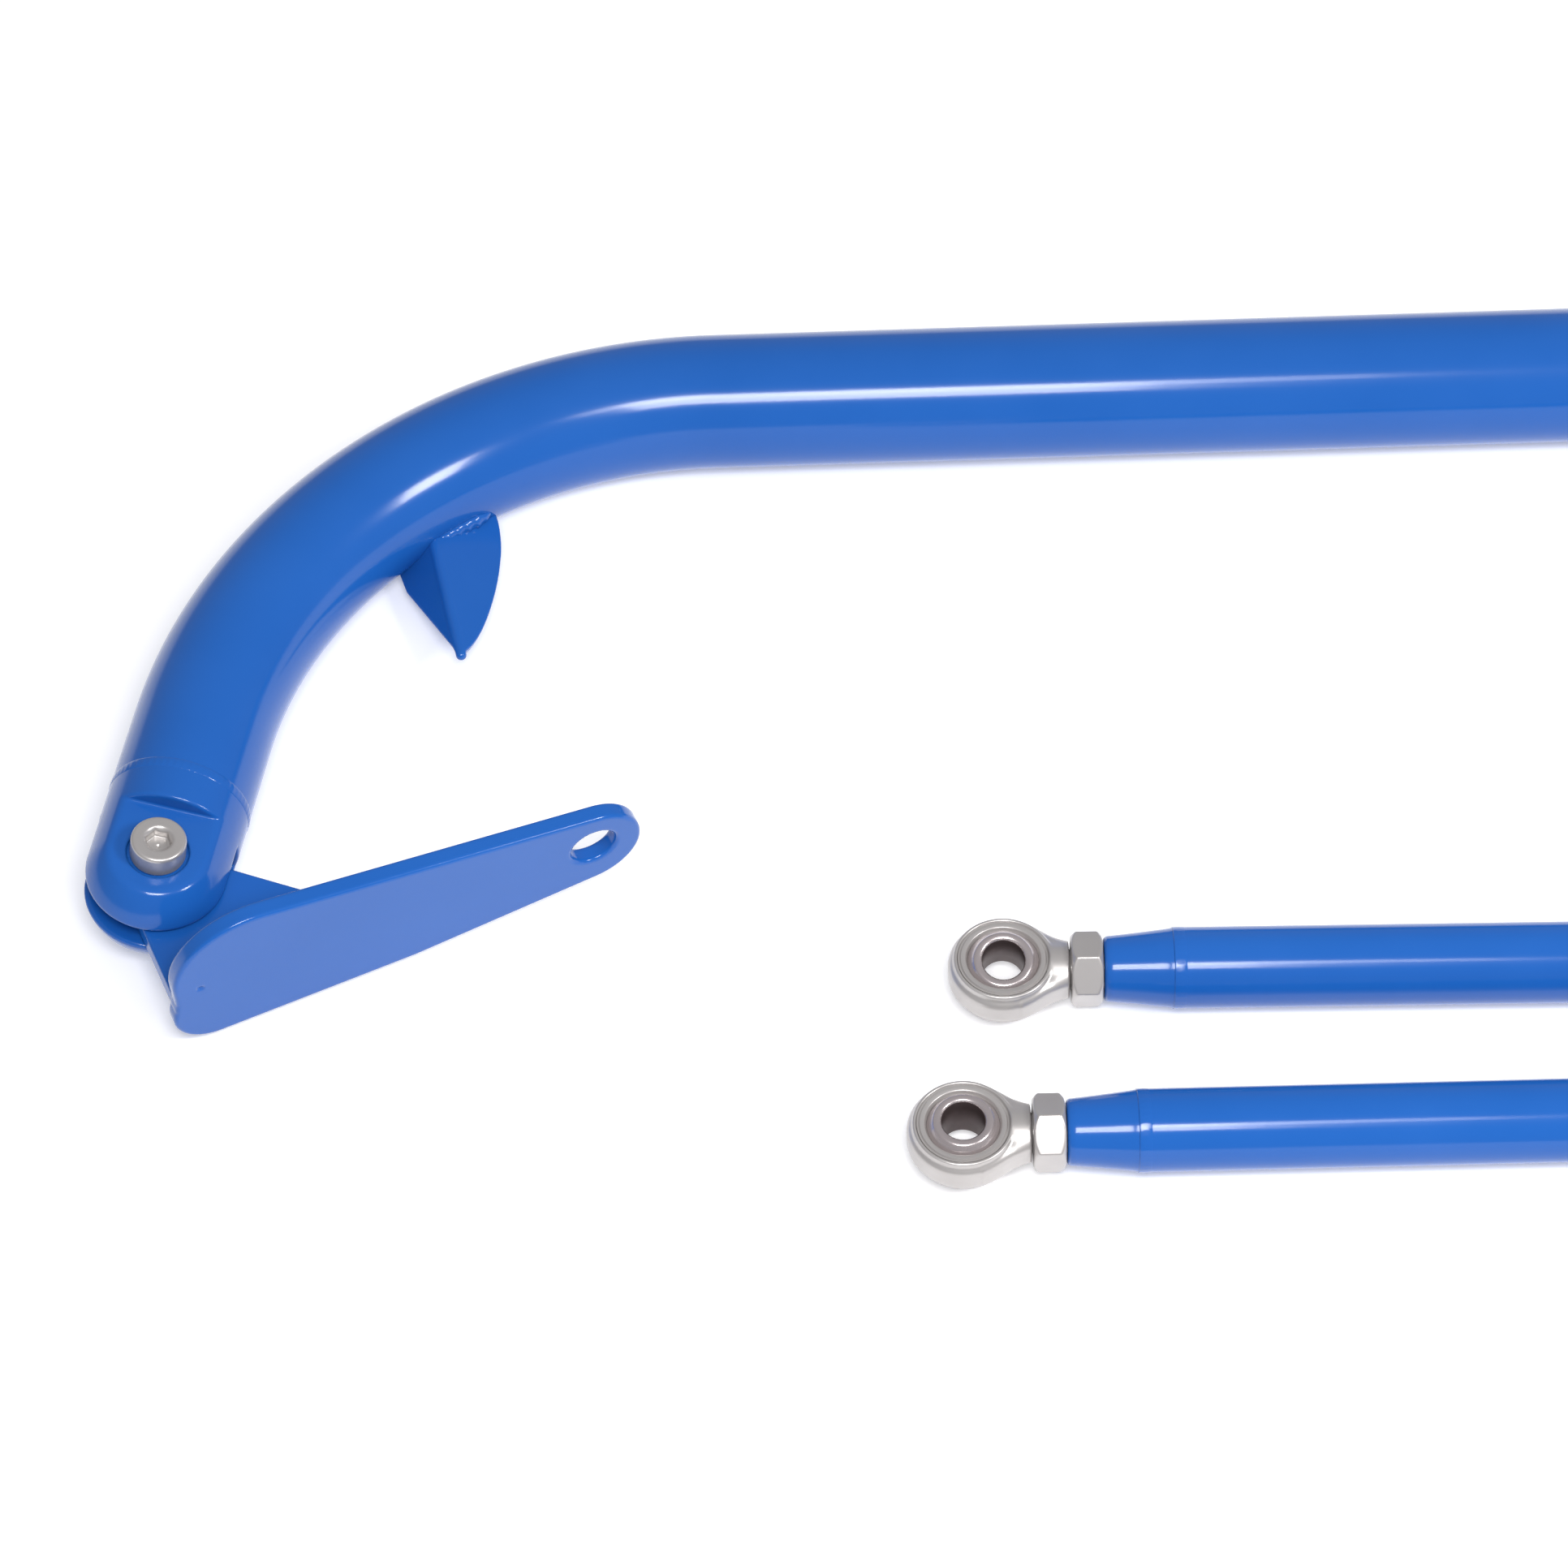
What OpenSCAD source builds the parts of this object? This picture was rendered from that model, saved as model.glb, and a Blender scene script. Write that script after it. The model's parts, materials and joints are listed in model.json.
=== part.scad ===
// Harness cross bar with two pivoting anchor brackets and two adjustable support rods.
// Millimetres. +X runs along the bar, +Y away from the brackets, +Z up.
// Everything lies on the plane z = 0, with the origin under the middle of the whole set.

/* [Main bar] */
// Overall length of the bar over both fork noses
bar_length = 1245; // [1150:5:1350]
// Outside diameter of the main tube
bar_d = 38.1; // [36:0.1:40]
// Wall thickness of the main tube
bar_wall = 2.5; // [1.6:0.1:3.5]
// Centreline radius of the two bends
bend_r = 142; // [120:1:160]
// Angle that each leg turns through
bend_angle = 79.3; // [70:0.1:88]
// Straight stretch of each leg, from the end of the bend to the pivot bolt
leg_reach = 51.5; // [45:0.5:80]

/* [Fork ends] */
// Turn of each fork about its own leg, which tips the pivot bolts inwards
fork_roll = 10.5; // [0:0.5:12]
// Height of the milled flats above the middle of the fork
flat_h = 14; // [13:0.1:15]
// Distance from the bolt axis to the step at the end of the flat
step_back = 14.2; // [13:0.1:16]
// Width of the slot that takes the bracket tongue
slot_w = 7; // [6.8:0.1:8]
// Distance from the bolt axis to the weld seam
seam_back = 25.5; // [22:0.5:30]

/* [Pivot bolts] */
// Shank diameter of the pivot bolt
bolt_d = 10; // [8:0.1:12]
// Diameter of the bolt head
head_d = 14.6; // [14:0.1:16]
// Height of the bolt head
head_h = 5.8; // [5:0.1:7]

/* [Anchor brackets] */
// Angle from the line across the leg to the anchor plate, as it lies
bracket_rest = 34.8; // [25:0.1:37]
// Thickness of the anchor plate and its tongue
plate_t = 5; // [4:0.1:5]
// Distance from the bolt axis to the front face of the anchor plate
plate_front = 42; // [40:0.1:44]
// Height of the plate's straight top edge above the tongue
plate_top = 37; // [35:0.1:39]
// Distance along the plate from the bolt axis to the centre of its round end
plate_reach = 104.8; // [95:0.1:115]
// Diameter of the anchor hole
anchor_hole_d = 12.7; // [11:0.1:13]

/* [Support rods] */
// Distance between the two ball centres of a rod
rod_centres = 772; // [650:1:780]
// Outside diameter of the rod tube
rod_d = 21.3; // [20:0.1:22]
// Wall thickness of the rod tube
rod_wall = 2.6; // [2:0.1:3]
// Distance from the bar's axis to the axis of the back rod
back_rod_gap = 205; // [195:1:210]
// Distance from the bar's axis to the axis of the front rod
front_rod_gap = 251; // [245:1:260]
// Thread drawn out of each rod end for a longer rod, as shown
thread_out = 0; // [0:1:20]

/* [Rod ends] */
// Outside diameter of the rod-end eye
eye_d = 28.6; // [27:0.1:30]
// Width of the boss ring round the eye
eye_w = 11.1; // [10:0.1:12]
// Diameter of the ball
ball_d = 20.6; // [20:0.1:21]
// Width of the ball over its flats
ball_w = 14.3; // [13.5:0.1:15]
// Bore of the ball
ball_bore_d = 11.1; // [10:0.1:11.5]
// Width of the jam nut over its flats
nut_af = 17.5; // [16:0.1:18]
// Thickness of the jam nut
nut_t = 8.2; // [6:0.1:8.5]

/* [Hidden] */
$fn = 96;
eps = 0.01;
fit_gap = 0.05;

// Bar
bar_r = bar_d / 2;
bar_bore_r = bar_r - bar_wall;
straight_half = bar_length / 2 - bar_r - bend_r * sin(bend_angle) - leg_reach * cos(bend_angle);
spigot = 20;
stub_lap = 1;
stub_skin = 0.03;
pivot_x = bar_length / 2 - bar_r;
pivot_drop = bend_r * (1 - cos(bend_angle)) + leg_reach * sin(bend_angle);

// Rods
rod_r = rod_d / 2;
eye_r = eye_d / 2;
back_rod_shift = 4.2;
front_rod_shift = -8.5;
back_rod_yaw = -1.15;
front_rod_yaw = -0.45;
front_swing = rod_centres / 2 * sin(abs(front_rod_yaw));
bar_y = (front_rod_gap + front_swing + eye_r - bar_r) / 2;
nut_from_ball = 17.6;
bung_from_ball = nut_from_ball + nut_t + 0.3;
bung_len = 19.6;
bung_small_r = 8.5;
seam_from_ball = bung_from_ball + bung_len;
shank_r = 5.5;
shank_in = 30;
rim_w = 8.6;
boss_r = 12.9;
race_r = 11.9;
ball_lean_back = 12;
ball_lean_front = 2;
back_nut_turn = 18;
front_nut_turn = 8;

// Fork and bracket
slot_root = 13;
washer_t = (slot_w - plate_t) / 2 - 0.1;
washer_r = 9;
socket_af = 6;
socket_deep = 3.4;
tongue_end_r = 9;
flare_angle = 38.4;
plate_back = plate_front - plate_t;
flare_end = (tongue_end_r + plate_back * cos(flare_angle)) / sin(flare_angle);
end_r = 14.2;
end_c = [plate_reach, plate_top - end_r];
shoulder_r = 22.7;
shoulder_c = [11.4, plate_top - shoulder_r];
lobe_r = 11.6;
lobe_c = [1.4, -1.1];
heel_notch = [[-10.05, 2.6], [-9.9, 4.8], [-10.3, 7.4], [-10.8, 10], [-11.2, 12.4]];
belly = [57.4, -3.6];
hole_c = [plate_reach + 0.5, plate_top - end_r + 1.4];
bead_r = 2.4;
fillet_r = 3;

// Guide fin, as places round the centre of the bend: radius, angle from the bar, height over z = 0
fin_t = 3;
ridge_base = [125, 39.5, 16];
fin_tip = [90.6, 51.6, 11.9];
fin_bows = [[88.5, 45.5, 10], [105, 32, 7.5]];
fin_root = [126, 30, 10];
fin_heel = [121.5, 45.4, 4.5];
fin_toe = [131, 43.3, 4.5];
fin_weld_angle = 9.5;
fin_weld_lift = -14;
fin_bead_r = 2.6;

function arc(c, r, from, to, n) = [for (i = [0:n]) let (a = from + (to - from) * i / n) c + r * [cos(a), sin(a)]];
function bezier(p, t) =
    pow(1 - t, 3) * p[0] + 3 * t * pow(1 - t, 2) * p[1] + 3 * t * t * (1 - t) * p[2] + pow(t, 3) * p[3];
function place(p) = [-p[0] * sin(p[1]), p[0] * cos(p[1]), p[2]];
// Angle of the common outside tangent of two circles, measured as the tangent point's direction
function tangent_dir(c1, r1, c2, r2, side) =
    let (d = c2 - c1, base = atan2(d[1], d[0])) base + side * acos((r1 - r2) / norm(d));

module blue() { color([0.11, 0.38, 0.78]) children(); }
module zinc() { color([0.80, 0.79, 0.80]) children(); }

// Frames
module bar_frame() { translate([0, bar_y, bar_r]) children(); }
module on_side(side) { if (side == "left") children(); else mirror([1, 0, 0]) children(); }
module bend_frame() { bar_frame() translate([-straight_half, -bend_r, 0]) children(); }
module fork_frame() {
    bar_frame() translate([-pivot_x, -pivot_drop, 0])
        rotate([0, 0, 180 + bend_angle]) rotate([-fork_roll, 0, 0]) children();
}
// Bracket frame: X along the anchor plate, Y back from it, Z along the bolt
module bracket_frame() { fork_frame() rotate([0, 0, bracket_rest + 90]) mirror([0, 1, 0]) children(); }

// Ground flat where a bead would stand lower than its tube
module above_ground() {
    intersection() {
        children();
        translate([-bar_length, -bar_length, 0.1]) cube([2 * bar_length, 2 * bar_length, 2 * bar_d]);
    }
}
module ring(outer_r, inner_r, length) {
    difference() {
        cylinder(r = outer_r, h = length);
        translate([0, 0, -eps]) cylinder(r = inner_r, h = length + 2 * eps);
    }
}
module tube_section(skin = 0) {
    difference() {
        circle(bar_r - skin);
        circle(bar_bore_r + skin);
    }
}

// Main tube: one straight, two bends and two leg stubs, hollow from seam to seam.
// Each stub starts a little way inside its bend and is a hair thicker, so the two join cleanly.
module main_tube() {
    blue() {
        bar_frame() translate([-straight_half, 0, 0]) rotate([0, 90, 0])
            linear_extrude(2 * straight_half) tube_section();
        for (side = ["left", "right"]) on_side(side) {
            bend_frame() rotate([0, 0, 90]) rotate_extrude(angle = bend_angle)
                translate([bend_r, 0]) tube_section();
            bend_frame() rotate([0, 0, bend_angle]) translate([stub_lap, bend_r, 0]) rotate([0, -90, 0])
                linear_extrude(leg_reach - seam_back + stub_lap) tube_section(-stub_skin);
        }
    }
}

// Fork end: a turned plug with a round nose, two milled flats, a slot and a cross hole
module fork_blank() {
    rotate([0, 90, 0]) rotate_extrude() {
        intersection() {
            circle(bar_r);
            square([bar_r, bar_r]);
        }
        translate([0, -seam_back]) square([bar_r, seam_back]);
        translate([0, -seam_back - spigot]) square([bar_bore_r - fit_gap, spigot]);
    }
}
module fork(side) {
    blue() on_side(side) fork_frame() difference() {
        fork_blank();
        for (up = [0, 1]) mirror([0, 0, up])
            translate([-step_back, -bar_d, flat_h]) cube([2 * bar_d, 2 * bar_d, bar_d]);
        translate([-slot_root, -bar_d, -slot_w / 2]) cube([2 * bar_d, 2 * bar_d, slot_w]);
        translate([0, 0, -bar_d]) cylinder(d = bolt_d + 2 * fit_gap, h = 2 * bar_d);
    }
}
// Raised weld bead round a tube, built outwards from its surface
module bead_ring(tube_r, width, height) {
    rotate([0, 90, 0]) rotate_extrude() intersection() {
        translate([tube_r - width + height, 0]) circle(width);
        translate([tube_r, -width]) square([width, 2 * width]);
    }
}
module fork_weld(side) {
    blue() above_ground() on_side(side) fork_frame() translate([-seam_back, 0, 0])
        bead_ring(bar_r + stub_skin, bead_r, 0.5);
}

// Guide fin: a plate folded along a ridge, with its base fitted to the inside of the bend
module fin_plate(points) {
    hull() for (p = points) translate(place(p)) sphere(d = fin_t, $fn = 20);
}
module bend_solid() {
    translate([0, 0, bar_r]) rotate([0, 0, 90]) rotate_extrude(angle = bend_angle)
        translate([bend_r, 0]) circle(bar_r);
}
module guide_fin(side) {
    bowed_edge = [fin_tip, fin_bows[0], fin_bows[1], fin_root];
    blue() on_side(side) bend_frame() translate([0, 0, -bar_r]) difference() {
        union() {
            fin_plate(concat([ridge_base], [for (t = [0:0.125:1]) bezier(bowed_edge, t)]));
            fin_plate([ridge_base, fin_tip, fin_heel, fin_toe]);
        }
        bend_solid();
    }
}
// Weld bead along the fin's base, following the bend
module guide_weld(side) {
    blue() on_side(side) bend_frame() rotate([0, 0, 90 + fin_root[1] + 1]) rotate_extrude(angle = fin_weld_angle)
        difference() {
            translate([bend_r - bar_r * cos(fin_weld_lift), bar_r * sin(fin_weld_lift)]) circle(fin_bead_r);
            translate([bend_r, 0]) circle(bar_r);
        }
}

module pivot_bolt(side) {
    zinc() on_side(side) fork_frame() difference() {
        union() {
            translate([0, 0, -flat_h]) cylinder(d = bolt_d, h = 2 * flat_h);
            translate([0, 0, flat_h]) cylinder(d = head_d, h = head_h);
        }
        translate([0, 0, flat_h + head_h - socket_deep])
            cylinder(d = socket_af / cos(30), h = socket_deep + eps, $fn = 6);
    }
}
// Two thin nylon washers that take up the slot, one on each side of the tongue
module pivot_washers(side) {
    color([0.9, 0.9, 0.86]) on_side(side) fork_frame() for (up = [0, 1]) mirror([0, 0, up])
        translate([0, 0, slot_w / 2 - washer_t]) ring(washer_r, bolt_d / 2 + fit_gap, washer_t);
}

// Tongue: a flat wedge round the bolt, square to the plate on its left and flared on its right
module tongue_outline() {
    polygon(concat(
        arc([0, 0], tongue_end_r, flare_angle - 90, -180, 24),
        [[-tongue_end_r, plate_back], [flare_end, plate_back]]
    ));
}
module tongue(side) {
    blue() on_side(side) bracket_frame() translate([0, 0, -plate_t / 2]) difference() {
        linear_extrude(plate_t) tongue_outline();
        translate([0, 0, -eps]) cylinder(d = bolt_d + 2.4 * fit_gap, h = plate_t + 2 * eps);
    }
}
// Anchor plate: straight top edge, tapered bottom edge, full round end and a deep heel with a slight notch
module plate_outline() {
    end_low = tangent_dir(belly, 0, end_c, end_r, -1);
    heel_low = tangent_dir(lobe_c, lobe_r, belly, 0, -1);
    polygon(concat(
        arc(end_c, end_r, end_low, 90, 32),
        arc(shoulder_c, shoulder_r, 90, 180, 30),
        [for (i = [len(heel_notch) - 1:-1:0]) heel_notch[i]],
        arc(lobe_c, lobe_r, 168, 360 + heel_low, 24),
        [belly]
    ));
}
module anchor_plate(side) {
    blue() on_side(side) bracket_frame() translate([0, plate_front, 0]) rotate([90, 0, 0]) difference() {
        linear_extrude(plate_t) plate_outline();
        translate([hole_c[0], hole_c[1], -eps]) cylinder(d = anchor_hole_d, h = plate_t + 2 * eps);
    }
}
// Fillet weld under and over the tongue where it meets the plate
module bracket_weld(side) {
    blue() on_side(side) bracket_frame() for (up = [0, 1]) mirror([0, 0, up])
        translate([2 - tongue_end_r, plate_back, plate_t / 2]) rotate([0, 90, 0]) rotate([0, 0, 180])
            linear_extrude(flare_end + tongue_end_r - 8) intersection() {
                circle(fillet_r);
                square([fillet_r, fillet_r]);
            }
}

// Rods: local X runs along the rod, from its middle, and "left" is the -X end
function is_back(which) = which == "back";
module rod_frame(which) {
    gap = is_back(which) ? back_rod_gap : front_rod_gap;
    yaw = is_back(which) ? back_rod_yaw : front_rod_yaw;
    shift = is_back(which) ? back_rod_shift : front_rod_shift;
    translate([shift, bar_y - gap, rod_r]) rotate([0, 0, yaw]) children();
}
// Rod end frame: origin at the ball centre, X towards the middle of the rod
module end_frame(which, side) {
    rod_frame(which) on_side(side) translate([-rod_centres / 2 - thread_out, 0, 0]) children();
}
module rod_tube(which) {
    blue() rod_frame(which) translate([-rod_centres / 2 + seam_from_ball, 0, 0]) rotate([0, 90, 0])
        ring(rod_r, rod_r - rod_wall, rod_centres - 2 * seam_from_ball);
}
module bung(which, side) {
    blue() end_frame(which, side) translate([bung_from_ball, 0, 0]) rotate([0, 90, 0]) rotate_extrude()
        polygon([
            [shank_r + fit_gap, 0], [bung_small_r - 0.6, 0], [bung_small_r, 0.6],
            [rod_r - 0.2, bung_len - 2.4], [rod_r - 0.2, bung_len],
            [rod_r - rod_wall - fit_gap, bung_len], [rod_r - rod_wall - fit_gap, bung_len + 16],
            [shank_r + fit_gap, bung_len + 16]
        ]);
}
module bung_weld(which, side) {
    blue() above_ground() end_frame(which, side) translate([seam_from_ball, 0, 0])
        bead_ring(rod_r, 1.8, 0.35);
}
module jam_nut(which, side) {
    chamfer_r = nut_af / 2 / cos(30) + 0.1;
    turn = is_back(which) ? back_nut_turn : front_nut_turn;
    zinc() end_frame(which, side) translate([nut_from_ball, 0, 0])
        rotate([0, 90, 0]) rotate(turn) difference() {
            intersection() {
                cylinder(d = nut_af / cos(30), h = nut_t, $fn = 6);
                rotate_extrude() polygon([
                    [0, 0], [nut_af / 2 - 0.2, 0], [chamfer_r, 1.0], [chamfer_r, nut_t - 1.0],
                    [nut_af / 2 - 0.2, nut_t], [0, nut_t]
                ]);
            }
            translate([0, 0, -eps]) cylinder(r = shank_r + fit_gap, h = nut_t + 2 * eps);
        }
}
// Rod end: a rounded eye with a boss ring on each face, a tapered neck and a threaded shank
module eye_profile() {
    corner = 2.2;
    intersection() {
        union() {
            translate([0, -eye_w / 2]) square([boss_r, eye_w]);
            translate([0, -rim_w / 2]) square([eye_r - corner, rim_w]);
            translate([0, -rim_w / 2 + corner]) square([eye_r, rim_w - 2 * corner]);
            for (y = [-1, 1]) translate([eye_r - corner, y * (rim_w / 2 - corner)]) circle(corner);
        }
        translate([race_r, -eye_w]) square([eye_r, 2 * eye_w]);
    }
}
module neck() {
    difference() {
        intersection() {
            translate([0, 0, -rim_w / 2]) linear_extrude(rim_w) polygon([
                [6, -12.9], [nut_from_ball - 0.8, -6.4], [nut_from_ball - 0.8, 6.4], [6, 12.9]
            ]);
            rotate([0, 90, 0]) cylinder(r1 = 15.2, r2 = 6.6, h = nut_from_ball - 0.2);
        }
        translate([0, 0, -eye_w]) cylinder(r = boss_r + 0.4, h = 2 * eye_w);
    }
}
module rod_end(which, side) {
    zinc() end_frame(which, side) {
        rotate_extrude() eye_profile();
        difference() {
            union() {
                translate([boss_r - 0.6, 0, 0]) rotate([0, 90, 0])
                    cylinder(r = shank_r, h = bung_from_ball + shank_in - boss_r + 0.6);
                neck();
            }
            translate([0, 0, -eye_w]) cylinder(r = race_r + 0.5, h = 2 * eye_w);
        }
    }
}
module race(which, side) {
    zinc() end_frame(which, side) difference() {
        translate([0, 0, -eye_w / 2]) cylinder(r = race_r, h = eye_w);
        sphere(d = ball_d + 2 * fit_gap);
    }
}
// Ball: a sphere cut to two flats and bored, lying as the rods were put down
module ball(which, side) {
    lean = is_back(which) ? ball_lean_back : ball_lean_front;
    zinc() end_frame(which, side) rotate([lean, 0, 0]) difference() {
        intersection() {
            sphere(d = ball_d);
            translate([-ball_d, -ball_d, -ball_w / 2]) cube([2 * ball_d, 2 * ball_d, ball_w]);
        }
        translate([0, 0, -ball_w]) cylinder(d = ball_bore_d, h = 2 * ball_w);
    }
}

main_tube();
fork("left");  // fork_left
fork("right");  // fork_right
fork_weld("left");  // fork_weld_left
fork_weld("right");  // fork_weld_right
guide_fin("left");  // guide_fin_left
guide_fin("right");  // guide_fin_right
guide_weld("left");  // guide_weld_left
guide_weld("right");  // guide_weld_right
pivot_bolt("left");  // pivot_bolt_left
pivot_bolt("right");  // pivot_bolt_right
pivot_washers("left");  // pivot_washers_left
pivot_washers("right");  // pivot_washers_right
tongue("left");  // tongue_left
tongue("right");  // tongue_right
anchor_plate("left");  // anchor_plate_left
anchor_plate("right");  // anchor_plate_right
bracket_weld("left");  // bracket_weld_left
bracket_weld("right");  // bracket_weld_right
rod_tube("back");  // rod_tube_back
rod_tube("front");  // rod_tube_front
bung("back", "left");  // bung_back_left
bung("back", "right");  // bung_back_right
bung("front", "left");  // bung_front_left
bung("front", "right");  // bung_front_right
bung_weld("back", "left");  // bung_weld_back_left
bung_weld("back", "right");  // bung_weld_back_right
bung_weld("front", "left");  // bung_weld_front_left
bung_weld("front", "right");  // bung_weld_front_right
jam_nut("back", "left");  // jam_nut_back_left
jam_nut("back", "right");  // jam_nut_back_right
jam_nut("front", "left");  // jam_nut_front_left
jam_nut("front", "right");  // jam_nut_front_right
rod_end("back", "left");  // rod_end_back_left
rod_end("back", "right");  // rod_end_back_right
rod_end("front", "left");  // rod_end_front_left
rod_end("front", "right");  // rod_end_front_right
race("back", "left");  // race_back_left
race("back", "right");  // race_back_right
race("front", "left");  // race_front_left
race("front", "right");  // race_front_right
ball("back", "left");  // ball_back_left
ball("back", "right");  // ball_back_right
ball("front", "left");  // ball_front_left
ball("front", "right");  // ball_front_right
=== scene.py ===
"""Harness cross bar with two anchor brackets and two adjustable support rods.

The finishes are gloss blue powder coat, zinc plate and polished steel. Every visible piece is a
fine mesh that stands for its CAD node. Places come from the frame's joints, mounts and boxes.
Piece shapes are in millimetres in a local frame of their own, and place() puts them in metres in
the row frame.
"""
import json
import math

import bpy
import numpy as np
from mathutils import Matrix, Vector


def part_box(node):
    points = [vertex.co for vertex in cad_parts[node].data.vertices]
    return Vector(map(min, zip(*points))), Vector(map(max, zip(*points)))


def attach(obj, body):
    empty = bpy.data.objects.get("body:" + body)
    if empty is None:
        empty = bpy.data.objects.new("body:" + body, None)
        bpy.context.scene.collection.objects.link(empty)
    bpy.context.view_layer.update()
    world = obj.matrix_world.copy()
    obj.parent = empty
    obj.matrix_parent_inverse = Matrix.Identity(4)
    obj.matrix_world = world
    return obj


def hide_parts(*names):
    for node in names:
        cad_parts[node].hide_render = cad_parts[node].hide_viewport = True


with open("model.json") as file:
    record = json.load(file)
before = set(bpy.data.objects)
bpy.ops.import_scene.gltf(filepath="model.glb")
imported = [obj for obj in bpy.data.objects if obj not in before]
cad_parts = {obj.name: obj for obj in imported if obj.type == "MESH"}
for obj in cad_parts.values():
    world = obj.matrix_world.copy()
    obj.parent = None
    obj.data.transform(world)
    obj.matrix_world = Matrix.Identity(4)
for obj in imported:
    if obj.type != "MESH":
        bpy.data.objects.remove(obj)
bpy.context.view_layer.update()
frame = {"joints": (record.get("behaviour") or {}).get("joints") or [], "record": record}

MM = 0.001
COARSE = 1.0
JOINTS = {joint["name"]: joint for joint in frame["joints"]}
MOUNTS = {mount["name"]: mount for mount in frame["record"]["mounts"]}
MIRROR_X = Matrix.Scale(-1, 4, (1, 0, 0))
# The lowest that any piece reaches, in metres
GROUND = 0.00002
WASHER_TURNS = 72
ROUND_TURNS = 96
BEARING_TURNS = 128
HEX = np.arange(6) * math.pi / 3

# Main tube and forks
BEND_R = 142
TUBE_WALL = 2.5
FLAT_H = 14
STEP_BACK = 14.2
SLOT_W = 7
SLOT_ROOT = 13
SEAM_BACK = 25.5
FORK_SEAM = {"width": 3.2, "height": 0.34, "pitch": 1.9}
BOLT_R = 5
BOLT_PLAY = 0.05
HEAD_R = 7.3
HEAD_H = 5.8
HEAD_SEAT = 1.3
HEAD_GAP = 0.9
HEAD_FOOT = FLAT_H - HEAD_SEAT + 0.02
SOCKET_R = 3.0
SOCKET_DEPTH = 3.4
SOCKET_MOUTH_R = 4.0
WASHER_R = 9.0
WASHER_T = 0.9

# Anchor brackets
PLATE_T = 5
PLATE_FRONT = 42
PLATE_TOP = 37
PLATE_REACH = 104.8
END_R = 14.2
SHOULDER_R = 22.7
SHOULDER = (11.4, PLATE_TOP - SHOULDER_R)
LOBE_R = 11.6
LOBE = (1.4, -1.1)
BELLY = (57.4, -3.6)
HEEL = [(-11.2, 12.4), (-10.8, 10), (-10.3, 7.4), (-9.9, 4.8), (-10.05, 2.6)]
HOLE = (PLATE_REACH + 0.5, PLATE_TOP - END_R + 1.4)
PIP = (-3.9, PLATE_FRONT + 0.3, 11.2)
PIP_R = 1.0
TONGUE_R = 9
TONGUE_PLAY = 0.06
FLARE = 38.4
FILLET_END = 44

# Rods and rod ends, measured from the ball centre towards the middle of the rod
NUT_AT = 17.6
NUT_T = 8.2
NUT_AF = 17.5
BUNG_AT = NUT_AT + NUT_T + 0.3
BUNG_L = 19.6
BUNG_SMALL_R = 8.5
SEAM_AT = BUNG_AT + BUNG_L
BUNG_SPIGOT = 16
BUNG_SEAM = {"width": 3.4, "height": 0.13, "pitch": 1.8}
ROD_WALL = 2.6
NUT_TURN = {"back": -12, "front": -22}
SHANK_R = 5.5
THREAD_PLAY = 0.05
THREAD_PITCH = 1.27
THREAD_DEPTH = 0.45
THREAD_FADE = 1.5
SHANK_END = BUNG_AT + 30
EYE_R = 14.3
RIM_W = 8.6
BOSS_R = 12.9
BOSS_W = 11.1
NECK_FROM = 5
NECK_HALF_W = 13.0
NECK_TAPER = 0.52
NECK_SLANT = 1.13
COLLAR_FROM = 11
COLLAR_R = 6.6
RACE_R = 11.9
BALL_R = 10.3
BALL_W = 14.3
BORE_R = 5.55


# ---------------------------------------------------------------- mesh makers

def surface_net(shape, low, high, step):
    """Quads over the zero level of shape(points), a distance in mm that is negative inside."""
    step = step * COARSE
    axes = [np.arange(a - 2 * step, b + 2.5 * step, step) for a, b in zip(low, high)]
    grid = np.stack(np.meshgrid(*axes, indexing="ij"), -1)
    d = shape(grid.reshape(-1, 3)).reshape(grid.shape[:3])
    inside = d < 0
    cells = tuple(n - 1 for n in d.shape)

    def corner(field, offset):
        return field[tuple(slice(o, o + n) for o, n in zip(offset, cells))]

    total = np.zeros(cells + (3,))
    count = np.zeros(cells)
    for axis in range(3):
        others = [a for a in range(3) if a != axis]
        for b in (0, 1):
            for c in (0, 1):
                start = [0, 0, 0]
                start[others[0]], start[others[1]] = b, c
                end = list(start)
                end[axis] = 1
                d0, d1 = corner(d, start), corner(d, end)
                crossed = (d0 < 0) != (d1 < 0)
                t = np.where(crossed, d0 / np.where(crossed, d0 - d1, 1), 0)
                spot = np.zeros(cells + (3,))
                spot[..., others[0]], spot[..., others[1]] = b, c
                spot[..., axis] = t
                total += spot * crossed[..., None]
                count += crossed
    used = count > 0
    number = np.full(cells, -1)
    number[used] = np.arange(used.sum())
    where = np.argwhere(used)
    points = (where + total[used] / count[used][:, None]) * step + [a[0] for a in axes]
    faces = []
    for axis in range(3):
        u, v = [(1, 2), (2, 0), (0, 1)][axis]
        first = [slice(1, n) for n in cells]
        first[axis] = slice(0, cells[axis])
        ahead = list(first)
        ahead[axis] = slice(1, cells[axis] + 1)
        here, there = inside[tuple(first)], inside[tuple(ahead)]

        def cell(du, dv):
            pick = list(first)
            pick[u] = slice(1 - du, cells[u] - du)
            pick[v] = slice(1 - dv, cells[v] - dv)
            return number[tuple(pick)]

        around = np.stack([cell(1, 1), cell(0, 1), cell(0, 0), cell(1, 0)], -1)
        faces.append(around[here & ~there])
        faces.append(around[~here & there][:, ::-1])
    faces = np.concatenate(faces)
    return settle(shape, points, faces, step), faces


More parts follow.
